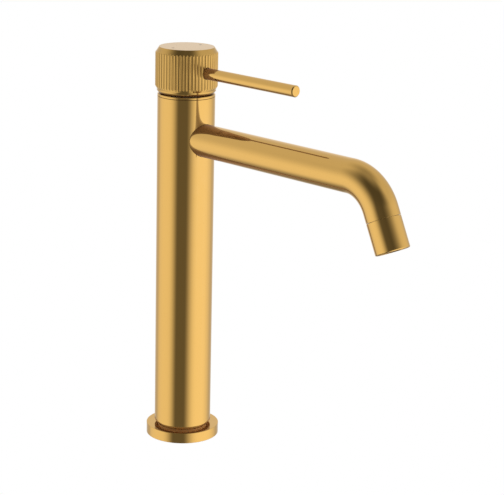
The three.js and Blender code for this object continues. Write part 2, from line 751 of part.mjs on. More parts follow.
add("base_flange", "gold", baseFlange());
add("base_seal", "rubber", baseSeal());
add("foot_block", "brass", footBlock());
add("foot_seal", "rubber", footSeal());
add("body_column", "gold", bodyColumn());
add("hot_riser_tube", "copper", riserTube(-PORT_X));
add("cold_riser_tube", "copper", riserTube(PORT_X));
add("valve_block", "brass", valveBlock());
add("spout_tube", "gold", spoutTube());
add("spout_seal", "rubber", spoutSeal());
add("aerator_housing", "gold", aeratorHousing());
add("aerator_washer", "rubber", aeratorWasher());
add("aerator_insert", "plastic", aeratorInsert());
add("aerator_screen", "steel", aeratorScreen());
add("trim_ring", "gold", trimRing());
add("cartridge_nut", "brass", cartridgeNut());
add("cartridge_housing", "plastic", cartridgeHousing());
add("cartridge_base", "plastic", cartridgeBase());
add("hot_port_seal", "rubber", portSeal("hot"));
add("cold_port_seal", "rubber", portSeal("cold"));
add("outlet_port_seal", "rubber", portSeal("outlet"));
add("fixed_disc", "ceramic", fixedDisc());
add("moving_disc", "ceramic", movingDisc());
add("disc_carrier", "plastic", discCarrier());
add("stem_rotor", "plastic", stemRotor());
add("stem_pin", "steel", stemPin());
add("stem", "brass", stem());
add("handle_cap", "gold", handleCap());
add("lever_pin", "gold", leverPin());
add("handle_grub_screw", "steel", grubScrew());
add("grub_screw_plug", "gold", grubPlug());
add("hot_index_dot", "hot", indexDot(-DOT_X));
add("cold_index_dot", "cold", indexDot(DOT_X));

export default faucet;
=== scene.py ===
"""Tall single-lever basin mixer in a gold finish. Lengths in the shape code are millimetres."""

import math

import bmesh
import bpy
from mathutils import Matrix, Vector


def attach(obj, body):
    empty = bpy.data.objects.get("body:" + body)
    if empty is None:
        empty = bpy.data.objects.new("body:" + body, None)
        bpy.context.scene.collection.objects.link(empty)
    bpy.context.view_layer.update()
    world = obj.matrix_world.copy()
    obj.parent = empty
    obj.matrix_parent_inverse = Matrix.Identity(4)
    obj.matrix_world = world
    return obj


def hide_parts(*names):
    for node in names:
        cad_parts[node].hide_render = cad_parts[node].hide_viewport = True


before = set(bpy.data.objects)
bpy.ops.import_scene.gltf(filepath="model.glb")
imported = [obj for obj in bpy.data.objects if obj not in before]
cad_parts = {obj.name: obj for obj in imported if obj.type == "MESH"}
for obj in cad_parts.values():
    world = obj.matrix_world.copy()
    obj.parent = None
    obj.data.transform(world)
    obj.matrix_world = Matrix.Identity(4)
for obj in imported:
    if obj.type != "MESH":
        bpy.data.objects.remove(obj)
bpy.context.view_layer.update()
scene = bpy.context.scene
scene.view_settings.view_transform = "Standard"

MM = 0.001

# Column, foot and trim ring.
COLUMN_R = 22.5
COLUMN_BORE_R = 20.0
COLUMN_BOTTOM = 11.1
COLUMN_TOP = 276.5
COUNTERBORE_R = 21.0
COUNTERBORE_Z = 272.0
FLANGE_R = 29.0
FLANGE_H = 8.4
FOOT_R = 19.7
FOOT_H = 32.0
RING_Z0, RING_Z1 = 276.8, 278.5
RING_TOP_R = 21.8

# Supply ports and stud holes in the foot.
PORT_X, PORT_Y = 8.5, 4
THREAD_CREST_R, THREAD_ROOT_R = 4.2, 4.6
THREAD_PITCH, THREAD_TURNS = 1.2, 10
PORT_DEPTH = 14
RISER_BORE_R, RISER_SOCKET_R = 3, 4.3
STUD_R, STUD_DEPTH = 3.4, 14
STUD_YS = (-11.5, 13)
CUT_PAST = 2

# Spout and aerator.
SPOUT_R = 12.75
SPOUT_WALL = 1.5
SPOUT_Z = 244.4
SPOUT_SEAT_Y = -14.155
SPIGOT_R, SPIGOT_BORE_R = 8.0, 6.3
SPIGOT_END_Y = -3.96
SPOUT_STRAIGHT = 177.0
BEND_R = 32.7
BEND_ANGLE = math.radians(64.9)
SPOUT_TAIL = 7.3
AERATOR_LEN = 23.7
SPOUT_HOLE_R = SPOUT_R + 0.1
NOZZLE_R, NOZZLE_Z0, NOZZLE_Z1 = 11.15, 13.6, 22.2
WATER_WAY_R, MIDDLE_WAY_R = 1.0, 1.1
WATER_WAY_RINGS = ((6, 3.6), (12, 6.7), (16, 9.4))
WATER_WAY_SIDES = 24

# Handle cap.
CAP_R = 24.27
CAP_BOTTOM, CAP_TOP = 279.3, 314.8
CAP_RIM_R, CAP_BAND_R, CAP_FACE_R, CAP_CAVITY_R = 21.6, 22.97, 21.4, 19.8
CAP_CEILING = 306.8
BAND_Z0, BAND_Z1 = 281.0, 282.3
FLUTE_Z0, FLUTE_Z1 = 284.8, 310.4
FLUTES = 54
FLUTE_DEPTH = 0.6
CREST_SHARE = 0.5
CREST_BULGE = 0.14

# Lever, rear screw and index dots.
LEVER_Z = 296.7
LEVER_R = 4.4
LEVER_TIP = 119.8
LEVER_SEAT = 21.77
LEVER_SPIGOT_R = 2.7
SCREW_Z = 309.3
COVER_R, COVER_END, COVER_START = 2, -23.4, -19.12
STEM_SOCKET_W, STEM_SOCKET_TOP = 5.8, 312
DOT_X = 14.0
DOT_R, DOT_DEPTH, DOT_SUNK = 1.0, 0.5, 0.05

FINE = 192
MEDIUM = 128
SMALL = 64


# Mesh code.


def eased(profile, arc=5):
    """The closed profile with each corner (r, z, radius) eased into a small arc."""
    made = []
    for i, corner in enumerate(profile):
        here = Vector(corner[:2])
        radius = corner[2] if len(corner) > 2 else 0
        if not radius:
            made.append(tuple(here))
            continue
        back = Vector(profile[i - 1][:2]) - here
        ahead = Vector(profile[(i + 1) % len(profile)][:2]) - here
        half = back.angle(ahead) / 2
        reach = min(radius / math.tan(half), 0.45 * min(back.length, ahead.length))
        radius = reach * math.tan(half)
        bisector = (back.normalized() + ahead.normalized()).normalized()
        centre = here + bisector * radius / math.sin(half)
        start = here + back.normalized() * reach - centre
        end = here + ahead.normalized() * reach - centre
        turn = start.angle_signed(end)
        for step in range(arc + 1):
            made.append(tuple(centre + Matrix.Rotation(-turn * step / arc, 2) @ start))
    return made


def grid_faces(rows, closed=True):
    """Faces between neighbouring rows of point numbers, each row a closed ring."""
    faces = []
    pairs = zip(rows, rows[1:] + rows[:1]) if closed else zip(rows, rows[1:])
    for low, high in pairs:
        for i in range(len(low)):
            j = (i + 1) % len(low)
            face = list(dict.fromkeys((low[i], low[j], high[j], high[i])))
            if len(face) > 2:
                faces.append(face)
    return faces


def lathe(profile, steps):
    """Points and faces of a body turned about Z. The profile runs anticlockwise in (radius, height)."""
    points, rows = [], []
    for r, z in eased(profile):
        if r < 1e-6:
            rows.append([len(points)] * steps)
            points.append((0, 0, z))
            continue
        rows.append(list(range(len(points), len(points) + steps)))
        for i in range(steps):
            a = 2 * math.pi * i / steps
            points.append((r * math.cos(a), r * math.sin(a), z))
    return points, grid_faces(rows)


def box_solid(width, depth, z0, z1):
    x, y = width / 2, depth / 2
    corners = ((-x, -y), (x, -y), (x, y), (-x, y))
    points = [(*corner, z) for z in (z0, z1) for corner in corners]
    faces = [(3, 2, 1, 0), (4, 5, 6, 7)]
    faces += [(i, (i + 1) % 4, (i + 1) % 4 + 4, i + 4) for i in range(4)]
    return points, faces


def rod(radius, z0, z1, steps=SMALL, ease=0):
    return lathe([(0, z0), (radius, z0, ease), (radius, z1, ease), (0, z1)], steps)


def sweep(circles, steps):
    """Points and faces of a closed skin through circles, each (centre, direction, radius)."""
    side = Vector((1, 0, 0))
    points, rows = [], []
    for centre, direction, radius in circles:
        up = side.cross(direction)
        rows.append(list(range(len(points), len(points) + steps)))
        for i in range(steps):
            a = -2 * math.pi * i / steps
            points.append(centre + side * radius * math.cos(a) + up * radius * math.sin(a))
    return points, grid_faces(rows)


def smooth(mesh, crease=30):
    """Smooth shading with creases kept, on a mesh free of doubled points."""
    work = bmesh.new()
    work.from_mesh(mesh)
    bmesh.ops.remove_doubles(work, verts=work.verts, dist=2e-7)
    bmesh.ops.dissolve_degenerate(work, edges=work.edges, dist=1e-7)
    bmesh.ops.recalc_face_normals(work, faces=work.faces)
    work.to_mesh(mesh)
    work.free()
    mesh.polygons.foreach_set("use_smooth", [True] * len(mesh.polygons))
    mesh.set_sharp_from_angle(angle=math.radians(crease))


def make(name, solid, place=None, crease=30):
    points, faces = solid
    mesh = bpy.data.meshes.new(name)
    mesh.from_pydata([Vector(p) * MM for p in points], [], faces)
    if place:
        lift = place.copy()
        lift.translation *= MM
        mesh.transform(lift)
    smooth(mesh, crease)
    piece = bpy.data.objects.new(name, mesh)
    scene.collection.objects.link(piece)
    return piece


def carve(piece, *tools, crease=30):
    """Cuts the tools, each (solid, place), out of the piece."""
    cutters = [make("cutter", solid, place) for solid, place in tools]
    for cutter in cutters:
        cutting = piece.modifiers.new("cut", "BOOLEAN")
        cutting.operation = "DIFFERENCE"
        cutting.solver = "EXACT"
        cutting.object = cutter
    graph = bpy.context.evaluated_depsgraph_get()
    cut_mesh = bpy.data.meshes.new_from_object(piece.evaluated_get(graph))
    piece.modifiers.clear()
    plain = piece.data
    piece.data = cut_mesh
    bpy.data.meshes.remove(plain)
    cut_mesh.name = piece.name
    for cutter in cutters:
        bpy.data.meshes.remove(cutter.data)
    smooth(cut_mesh, crease)
    return piece


def settle(piece, body, material, slot, *nodes):
    """Puts the finished piece on its body, in place of the plain nodes."""
    piece.data.materials.clear()
    piece.data.materials.append(material)
    evened = piece.modifiers.new("even_shading", "WEIGHTED_NORMAL")
    evened.keep_sharp = True
    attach(piece, body)
    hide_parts(*nodes)
    return piece


def along_y(z):
    """Lays a body turned about Z along the lever's line, its +Z towards -Y."""
    return Matrix.Translation((0, 0, z)) @ Matrix.Rotation(math.pi / 2, 4, "X")


# Materials.


def new_group(name, inputs, outputs):
    group = bpy.data.node_groups.new(name, "ShaderNodeTree")
    for label, kind, value in inputs:
        socket = group.interface.new_socket(label, in_out="INPUT", socket_type=kind)
        socket.default_value = value
    for label, kind in outputs:
        group.interface.new_socket(label, in_out="OUTPUT", socket_type=kind)
    return group, group.nodes.new("NodeGroupInput"), group.nodes.new("NodeGroupOutput")


def add_node(tree, kind, settings=None, **values):
    node = tree.nodes.new(kind)
    for key, value in (settings or {}).items():
        setattr(node, key, value)
    for key, value in values.items():
        node.inputs[key.replace("_", " ")].default_value = value
    return node


def grain_group():
    """Fine drawn polishing lines and broad soft smudges."""
    group, given, result = new_group(
        "polish_grain",
        [("Stretch", "NodeSocketVector", (1, 1, 1)), ("Scale", "NodeSocketFloat", 400.0)],
        [("Lines", "NodeSocketFloat"), ("Smudge", "NodeSocketFloat")],
    )
    places = add_node(group, "ShaderNodeTexCoord")
    stretch = add_node(group, "ShaderNodeVectorMath", {"operation": "MULTIPLY"})
    lines = add_node(group, "ShaderNodeTexNoise", Detail=4.0, Roughness=0.6)
    smudge = add_node(group, "ShaderNodeTexNoise", Scale=38.0, Detail=3.0, Roughness=0.5)
    link = group.links.new
    link(places.outputs["Object"], stretch.inputs[0])
    link(given.outputs["Stretch"], stretch.inputs[1])
    link(stretch.outputs[0], lines.inputs["Vector"])
    link(given.outputs["Scale"], lines.inputs["Scale"])
    link(places.outputs["Object"], smudge.inputs["Vector"])
    link(lines.outputs["Fac"], result.inputs["Lines"])
    link(smudge.outputs["Fac"], result.inputs["Smudge"])
    return group


def wear_and_highlight_group():
    """A mask of the outer edges, broken up by noise; the metals use it to roughen the edges as wear and to
    lighten their colour as a painted edge highlight.
    """
    group, given, result = new_group(
        "edge_rub_highlight",
        [("Start", "NodeSocketFloat", 0.53), ("Full", "NodeSocketFloat", 0.62)],
        [("Mask", "NodeSocketFloat")],
    )
    geometry = add_node(group, "ShaderNodeNewGeometry")
    edge = add_node(group, "ShaderNodeMapRange")
    places = add_node(group, "ShaderNodeTexCoord")
    breakup = add_node(group, "ShaderNodeTexNoise", Scale=120.0, Detail=2.0)
    mask = add_node(group, "ShaderNodeMath", {"operation": "MULTIPLY"})
    link = group.links.new
    link(geometry.outputs["Pointiness"], edge.inputs["Value"])
    link(given.outputs["Start"], edge.inputs["From Min"])
    link(given.outputs["Full"], edge.inputs["From Max"])
    link(places.outputs["Object"], breakup.inputs["Vector"])
    link(edge.outputs["Result"], mask.inputs[0])
    link(breakup.outputs["Fac"], mask.inputs[1])
    link(mask.outputs[0], result.inputs["Mask"])
    return group


GRAIN = grain_group()
EDGE_RUB_HIGHLIGHT = wear_and_highlight_group()


def new_material(name):
    material = bpy.data.materials.new(name)
    material.use_nodes = True
    tree = material.node_tree
    shader = tree.nodes["Principled BSDF"]
    return material, tree, shader


def metal(name, colour, rubbed_highlight, roughness, spread, stretch, line_scale, bump, painted_reflection=None):
    """A metal with drawn lines and smudges, whose outer edges are both worn and lightened by a painted edge
    highlight; in a neighbour's reflection it shows a painted reflection colour, browner and not metallic.
    """
    material, tree, shader = new_material(name)
    shader.inputs["Metallic"].default_value = 1.0
    grain = add_node(tree, "ShaderNodeGroup", {"node_tree": GRAIN}, Stretch=stretch, Scale=line_scale)
    rub_and_highlight = add_node(tree, "ShaderNodeGroup", {"node_tree": EDGE_RUB_HIGHLIGHT})
    # Painted edge highlight: the edge mask lightens the base colour towards the paler edge colour, and below
    # it also raises the roughness as wear.
    tint = add_node(tree, "ShaderNodeMix", {"data_type": "RGBA"})
    tint.inputs["A"].default_value = (*colour, 1)
    tint.inputs["B"].default_value = (*rubbed_highlight, 1)
    ends = add_node(tree, "ShaderNodeMapRange", To_Min=roughness, To_Max=roughness + spread)
    rubbed_ends = add_node(tree, "ShaderNodeMath", {"operation": "MULTIPLY_ADD"})
    rubbed_ends.inputs[1].default_value = spread
    blend = add_node(tree, "ShaderNodeMath", {"operation": "MULTIPLY"})
    bumps = add_node(tree, "ShaderNodeBump", Strength=bump, Distance=0.00002)
    link = tree.links.new
    link(rub_and_highlight.outputs["Mask"], tint.inputs["Factor"])
    link(tint.outputs["Result"], shader.inputs["Base Color"])
    # Painted reflection: glossy rays see the given browner colour with Metallic off, in place of the gold.
    if painted_reflection:
        path = add_node(tree, "ShaderNodeLightPath")
        painted_reflection_mix = add_node(tree, "ShaderNodeMix", {"data_type": "RGBA"})
        painted_reflection_mix.inputs["B"].default_value = (*painted_reflection, 1)
        direct = add_node(tree, "ShaderNodeMath", {"operation": "SUBTRACT"})
        direct.inputs[0].default_value = 1.0
        link(path.outputs["Is Glossy Ray"], painted_reflection_mix.inputs["Factor"])
        link(tint.outputs["Result"], painted_reflection_mix.inputs["A"])
        link(painted_reflection_mix.outputs["Result"], shader.inputs["Base Color"])
        link(path.outputs["Is Glossy Ray"], direct.inputs[1])
        link(direct.outputs[0], shader.inputs["Metallic"])
    link(grain.outputs["Lines"], blend.inputs[0])
    link(grain.outputs["Smudge"], blend.inputs[1])
    link(blend.outputs[0], ends.inputs["Value"])
    link(rub_and_highlight.outputs["Mask"], rubbed_ends.inputs[0])
    link(ends.outputs["Result"], rubbed_ends.inputs[2])
    link(rubbed_ends.outputs[0], shader.inputs["Roughness"])
    link(grain.outputs["Lines"], bumps.inputs["Height"])
    link(bumps.outputs["Normal"], shader.inputs["Normal"])
    return material


def moulded(name, colour, shade, roughness, spread, scale, bump, coat=0.0):
    """Moulded plastic, fired ceramic or rubber: fine pebbled skin and uneven tone."""
    material, tree, shader = new_material(name)
    shader.inputs["Coat Weight"].default_value = coat
    places = add_node(tree, "ShaderNodeTexCoord")
    skin = add_node(tree, "ShaderNodeTexNoise", Scale=scale, Detail=3.0)
    tone = add_node(tree, "ShaderNodeTexNoise", Scale=60.0, Detail=2.0)
    tint = add_node(tree, "ShaderNodeMix", {"data_type": "RGBA"})
    tint.inputs["A"].default_value = (*colour, 1)
    tint.inputs["B"].default_value = (*shade, 1)
    ends = add_node(tree, "ShaderNodeMapRange", To_Min=roughness, To_Max=roughness + spread)
    bumps = add_node(tree, "ShaderNodeBump", Strength=bump, Distance=0.0001)
    link = tree.links.new
    link(places.outputs["Object"], skin.inputs["Vector"])
    link(places.outputs["Object"], tone.inputs["Vector"])
    link(tone.outputs["Fac"], tint.inputs["Factor"])
    link(tint.outputs["Result"], shader.inputs["Base Color"])
    link(skin.outputs["Fac"], ends.inputs["Value"])
    link(ends.outputs["Result"], shader.inputs["Roughness"])
    link(skin.outputs["Fac"], bumps.inputs["Height"])
    link(bumps.outputs["Normal"], shader.inputs["Normal"])
    return material


GOLD = (0.94, 0.565, 0.16)
# Paler gold for the outer edges: partly wear, partly a painted edge highlight.
RUBBED_HIGHLIGHT_GOLD = (0.95, 0.6, 0.22)
KNURLED_GOLD = (0.83, 0.5, 0.14)
# Painted reflection colours: the browner, non-metal colour that gold shows in a neighbour's reflection, for
# the pieces in general and for the ones round the foot.
PAINTED_REFLECTION_GOLD = (0.45, 0.33, 0.3)
PAINTED_REFLECTION_SEAT = (0.9, 0.74, 0.66)
# How the polishing lines are stretched: round the column, along the spout and up the flutes.
AROUND_Z, ALONG_Y, UP_Z = (1, 1, 40), (30, 1, 30), (20, 20, 1)
GOLD_LINES, GOLD_BUMP = 60.0, 0.004


def gold(name, stretch, colour=GOLD, rubbed_highlight=RUBBED_HIGHLIGHT_GOLD, roughness=0.035, painted_reflection=PAINTED_REFLECTION_GOLD):
    return metal(name, colour, rubbed_highlight, roughness, 0.03, stretch, GOLD_LINES, GOLD_BUMP, painted_reflection)


gold_turned = gold("gold_turned", AROUND_Z)
gold_seat = gold("gold_seat", AROUND_Z, roughness=0.05, painted_reflection=PAINTED_REFLECTION_SEAT)
gold_drawn = gold("gold_drawn", ALONG_Y)
gold_knurled = gold("gold_knurled", UP_Z, KNURLED_GOLD, GOLD, 0.06)
brass_turned = metal("brass_turned", GOLD, RUBBED_HIGHLIGHT_GOLD, 0.2, 0.08, AROUND_Z, 80.0, 0.0, PAINTED_REFLECTION_SEAT)
raw_brass = metal("cast_brass", (0.78, 0.52, 0.2), (0.9, 0.7, 0.4), 0.28, 0.2, AROUND_Z, 80.0, 0.3)
copper = metal("drawn_copper", (0.86, 0.42, 0.25), (0.93, 0.6, 0.45), 0.22, 0.15, (30, 30, 1), 80.0, 0.2)
steel = metal("ground_steel", (0.6, 0.6, 0.62), (0.75, 0.75, 0.77), 0.2, 0.18, (1, 30, 30), 80.0, 0.2)
plastic = moulded("pale_plastic", (0.78, 0.77, 0.72), (0.72, 0.71, 0.66), 0.35, 0.2, 900.0, 0.15)
ceramic = moulded("white_ceramic", (0.88, 0.87, 0.83), (0.82, 0.81, 0.77), 0.12, 0.1, 500.0, 0.03, 0.3)
rubber = moulded("black_rubber", (0.016, 0.016, 0.017), (0.03, 0.03, 0.031), 0.6, 0.25, 1200.0, 0.3)
hot_enamel = moulded("hot_enamel", (0.30, 0.10, 0.06), (0.22, 0.08, 0.05), 0.25, 0.15, 900.0, 0.1)
cold_enamel = moulded("cold_enamel", (0.08, 0.14, 0.24), (0.06, 0.1, 0.18), 0.25, 0.15, 900.0, 0.1)

SLOT_MATERIALS = {
    "satin_gold": gold_turned,
    "raw_brass": raw_brass,
    "copper_tube": copper,
    "fine_steel": steel,
    "pale_plastic": plastic,
    "white_ceramic": ceramic,
    "black_rubber": rubber,
    "hot_mark": hot_enamel,
    "cold_mark": cold_enamel,
}


# Column and foot.


def base_flange():
    groove_in, groove_out, groove_h = 24.0, 27.0, 1.5
    return lathe(
        [
            (COLUMN_BORE_R, 0),
            (groove_in, 0),
            (groove_in, groove_h),
            (groove_out, groove_h),
            (groove_out, 0),
            (FLANGE_R, 0, 0.3),
            (FLANGE_R, FLANGE_H, 0.3),
            (COLUMN_BORE_R, FLANGE_H, 0.2),
        ],
        FINE,
    )


def foot_block():
    groove_r, z0, z1 = 18.1, 20.55, 22.45
    return lathe(
        [
            (0, 0),
            (FOOT_R, 0, 0.3),
            (FOOT_R, z0),
            (groove_r, z0),
            (groove_r, z1),
            (FOOT_R, z1),
            (FOOT_R, FOOT_H, 0.3),
            (0, FOOT_H),
        ],
        FINE,
    )


def port_tools():
    """The two supply ports with their thread rings, and the two stud holes."""
    thread = [(0, -CUT_PAST), (THREAD_ROOT_R, -CUT_PAST)]
    for turn in range(THREAD_TURNS):
        z = THREAD_PITCH * turn
        thread += [(THREAD_ROOT_R, z), (THREAD_CREST_R, z + THREAD_PITCH / 2)]
    thread += [(THREAD_ROOT_R, THREAD_PITCH * THREAD_TURNS), (THREAD_ROOT_R, PORT_DEPTH), (0, PORT_DEPTH)]
    tools = []
    for x in (-PORT_X, PORT_X):
        place = Matrix.Translation((x, PORT_Y, 0))
        tools.append((lathe(thread, SMALL), place))
        tools.append((rod(RISER_BORE_R, PORT_DEPTH - 1, FOOT_H), place))
        tools.append((rod(RISER_SOCKET_R, FOOT_H - PORT_DEPTH, FOOT_H + CUT_PAST), place))
    for y in STUD_YS:
        tools.append((rod(STUD_R, -CUT_PAST, STUD_DEPTH), Matrix.Translation((0, y, 0))))
    return tools


def column_sleeve():
    return lathe(
        [
            (COLUMN_BORE_R, COLUMN_BOTTOM, 0.2),
            (COLUMN_R, COLUMN_BOTTOM, 0.25),
            (COLUMN_R, COLUMN_TOP, 0.2),
            (COUNTERBORE_R, COLUMN_TOP, 0.15),
            (COUNTERBORE_R, COUNTERBORE_Z),
            (COLUMN_BORE_R, COUNTERBORE_Z),
        ],
        FINE,
    )


def trim_ring():
    skirt_in, skirt_out, skirt_bottom = 19.9, 20.7, 272.3
    return lathe(
        [
            (skirt_in, skirt_bottom),
            (skirt_out, skirt_bottom),
            (skirt_out, RING_Z0),
            (COLUMN_R, RING_Z0, 0.1),
            (COLUMN_R, RING_Z1 - 0.45, 0.3),
            (RING_TOP_R + 0.3, RING_Z1, 0.2),
            (RING_TOP_R - 0.65, RING_Z1, 0.1),
            (skirt_in, RING_Z1 - 1.5),
        ],
        FINE,
    )


# Spout.


def bend_point(angle):
    return Vector(
        (0, -(SPOUT_STRAIGHT + BEND_R * math.sin(angle)), SPOUT_Z - BEND_R * (1 - math.cos(angle)))
    )


def flow(angle):
    return Vector((0, -math.cos(angle), -math.sin(angle)))


SPOUT_END = bend_point(BEND_ANGLE) + flow(BEND_ANGLE) * SPOUT_TAIL
AT_MOUTH = Matrix.Translation(SPOUT_END) @ Vector((0, 0, 1)).rotation_difference(
    flow(BEND_ANGLE)
).to_matrix().to_4x4()


def spout_pipe(bend_steps=60, lip_steps=4):
    inner = SPOUT_R - SPOUT_WALL
    ahead, out = flow(0), flow(BEND_ANGLE)
    angles = [BEND_ANGLE * i / bend_steps for i in range(bend_steps + 1)]
    bend = [(bend_point(angle), flow(angle)) for angle in angles]
    lip = 0.1

    def at(y):
        return Vector((0, y, SPOUT_Z))

    circles = [
        (at(SPIGOT_END_Y), ahead, SPIGOT_R),
        (at(SPOUT_SEAT_Y), ahead, SPIGOT_R),
        (at(SPOUT_SEAT_Y), ahead, SPOUT_R),
    ]
    circles += [(point, way, SPOUT_R) for point, way in bend]
    for i in range(lip_steps + 1):
        a = math.pi / 2 * i / lip_steps
        circles.append((SPOUT_END - out * lip * (1 - math.sin(a)), out, SPOUT_R - lip * (1 - math.cos(a))))
    circles.append((SPOUT_END, out, inner))
    circles += [(point, way, inner) for point, way in reversed(bend)]
    neck = SPOUT_SEAT_Y - 2 * SPOUT_WALL
    circles += [
        (at(neck), ahead, inner),
        (at(neck), ahead, SPIGOT_BORE_R),
        (at(SPIGOT_END_Y), ahead, SPIGOT_BORE_R),
    ]
    return sweep(circles, FINE)


def aerator_sleeve():
    bore, spigot, seat = 9.65, 10.95, 11.45
    return lathe(
        [
            (bore, -6),
            (spigot, -6),
            (spigot, 0.3),
            (SPOUT_R, 0.3, 0.1),
            (SPOUT_R, AERATOR_LEN - 0.6, 0.15),
            (SPOUT_R - 0.6, AERATOR_LEN, 0.15),
            (seat, AERATOR_LEN, 0.15),
            (seat, 12),
            (bore, 12),
        ],
        FINE,
    )


def aerator_grid():
    """The nozzle face: a disc with rings of round water ways."""
    piece = make("aerator_nozzle", rod(NOZZLE_R, NOZZLE_Z0, NOZZLE_Z1, MEDIUM, 0.2))
    low, high = NOZZLE_Z0 - 0.6, NOZZLE_Z1 + 0.8
    tools = [(rod(MIDDLE_WAY_R, low, high, WATER_WAY_SIDES), None)]
    for count, reach in WATER_WAY_RINGS:
        for i in range(count):
            spot = Matrix.Rotation(2 * math.pi * i / count, 4, "Z") @ Vector((reach, 0, 0))
            tools.append((rod(WATER_WAY_R, low, high, WATER_WAY_SIDES), Matrix.Translation(spot)))
    return carve(piece, *tools)


# Handle.


def flute_columns(crest_steps=6, trough_steps=9):
    """Angle and outer radius of each column of points round the cap: full crests and round troughs."""
    pitch = 2 * math.pi / FLUTES
    half_crest = pitch * CREST_SHARE / 2
    half_width = CAP_R * pitch * (1 - CREST_SHARE) / 2
    depth = FLUTE_DEPTH - CREST_BULGE
    cutter_r = (half_width**2 + depth**2) / (2 * depth)
    half_turn = math.asin(min(1, half_width / cutter_r))
    columns = []
    for flute in range(FLUTES):
        crest = flute * pitch
        for step in range(crest_steps):
            share = 2 * step / crest_steps - 1
            columns.append((crest + half_crest * share, CAP_R - CREST_BULGE * share**2))
        for step in range(trough_steps):
            a = half_turn * (2 * step / trough_steps - 1)
            drop = depth - cutter_r * (1 - math.cos(a))
            around = crest + pitch / 2 + cutter_r * math.sin(a) / CAP_R
            columns.append((around, CAP_R - CREST_BULGE - max(drop, 0)))
    return columns


def knurled_cap():
    """The hollow cap: each column of points stops where its flute meets the two chamfers."""
    columns = flute_columns()
    sides = []
    for _, wall in columns:
        low = BAND_Z1 + (FLUTE_Z0 - BAND_Z1) * (wall - CAP_BAND_R) / (CAP_R - CAP_BAND_R)
        high = FLUTE_Z1 + (CAP_TOP - FLUTE_Z1) * (CAP_R - wall) / (CAP_R - CAP_FACE_R)
        profile = [
            (CAP_CAVITY_R, CAP_BOTTOM, 0.15),
            (CAP_RIM_R, CAP_BOTTOM, 0.2),
            (CAP_BAND_R, BAND_Z0, 0.2),
            (CAP_BAND_R, BAND_Z1, 0.2),
            (wall, low),
            (wall, high),
            (CAP_FACE_R, CAP_TOP, 0.25),
            (CAP_FACE_R / 2, CAP_TOP),
            (0, CAP_TOP),
            (0, CAP_CEILING),
            (CAP_CAVITY_R, CAP_CEILING),
        ]
        sides.append(eased(profile))
    points, rows = [], []
    for level in range(len(sides[0])):
        if sides[0][level][0] < 1e-6:
            rows.append([len(points)] * len(columns))
            points.append((0, 0, sides[0][level][1]))
            continue
        rows.append(list(range(len(points), len(points) + len(columns))))
        for (angle, _), side in zip(columns, sides):
            r, z = side[level]
            points.append((r * math.cos(angle), r * math.sin(angle), z))
    return points, grid_faces(rows)


def cap_tools():
    """The lever's seat and bore, the screw's way in, the stem's socket and the dots' pockets."""
    tools = [
        (rod(LEVER_R + 0.28, LEVER_SEAT - 0.3, CAP_R + 2, MEDIUM), along_y(LEVER_Z)),
        (rod(LEVER_SPIGOT_R + 0.3, 10, CAP_R), along_y(LEVER_Z)),
        (rod(COVER_R + 0.3, -CAP_R - 2, -1.3), along_y(SCREW_Z)),
        (box_solid(STEM_SOCKET_W, STEM_SOCKET_W, CAP_CEILING - 2, STEM_SOCKET_TOP), None),
    ]
    for x in (-DOT_X, DOT_X):
        pocket = rod(DOT_R + 0.08, CAP_TOP - DOT_DEPTH - 0.3, CAP_TOP + 1)
        tools.append((pocket, Matrix.Translation((x, 0, 0))))
    return tools


def lever_rod():
    edge = 0.7
    return lathe(
        [
            (0, CAP_CAVITY_R + 0.3),
            (LEVER_SPIGOT_R, CAP_CAVITY_R + 0.3),
            (LEVER_SPIGOT_R, LEVER_SEAT),
            (LEVER_R, LEVER_SEAT),
            (LEVER_R, LEVER_TIP - edge, 0.1),
            (LEVER_R - edge, LEVER_TIP, 0.1),
            (0, LEVER_TIP),
        ],
        MEDIUM,
    )


# Assembly.

BODY = "faucet_body"
HANDLE = "handle"

settle(make("flange_plate", base_flange()), BODY, gold_seat, "satin_gold", "base_flange")
settle(carve(make("foot_plug", foot_block()), *port_tools()), BODY, brass_turned, "raw_brass", "foot_block")
spout_way = (rod(SPOUT_HOLE_R, 0, 40, FINE), along_y(SPOUT_Z))
column = carve(make("column_sleeve", column_sleeve()), spout_way)
settle(column, BODY, gold_turned, "satin_gold", "body_column")
settle(make("top_ring", trim_ring()), BODY, gold_turned, "satin_gold", "trim_ring")
settle(make("spout_pipe", spout_pipe()), BODY, gold_drawn, "satin_gold", "spout_tube")
settle(make("aerator_sleeve", aerator_sleeve(), AT_MOUTH), BODY, gold_drawn, "satin_gold", "aerator_housing")

nozzle = aerator_grid()
turn_to_mouth = AT_MOUTH.copy()
turn_to_mouth.translation *= MM
nozzle.data.transform(turn_to_mouth)
settle(nozzle, BODY, plastic, "pale_plastic", "aerator_insert")

cap = carve(make("knurled_cap", knurled_cap()), *cap_tools())
settle(cap, HANDLE, gold_knurled, "satin_gold", "handle_cap")
settle(make("lever_rod", lever_rod(), along_y(LEVER_Z)), HANDLE, gold_drawn, "satin_gold", "lever_pin")
settle(
    make("screw_cover", rod(COVER_R, COVER_END, COVER_START, ease=0.3), along_y(SCREW_Z)),
    HANDLE,
    gold_drawn,
    "satin_gold",
    "grub_screw_plug",
)
for side, x, material in (("hot", -DOT_X, hot_enamel), ("cold", DOT_X, cold_enamel)):
    mark = rod(DOT_R, CAP_TOP - DOT_DEPTH, CAP_TOP - DOT_SUNK, ease=0.1)
    dot = make(f"{side}_dot", mark, Matrix.Translation((x, 0, 0)))
    settle(dot, HANDLE, material, f"{side}_mark", f"{side}_index_dot")

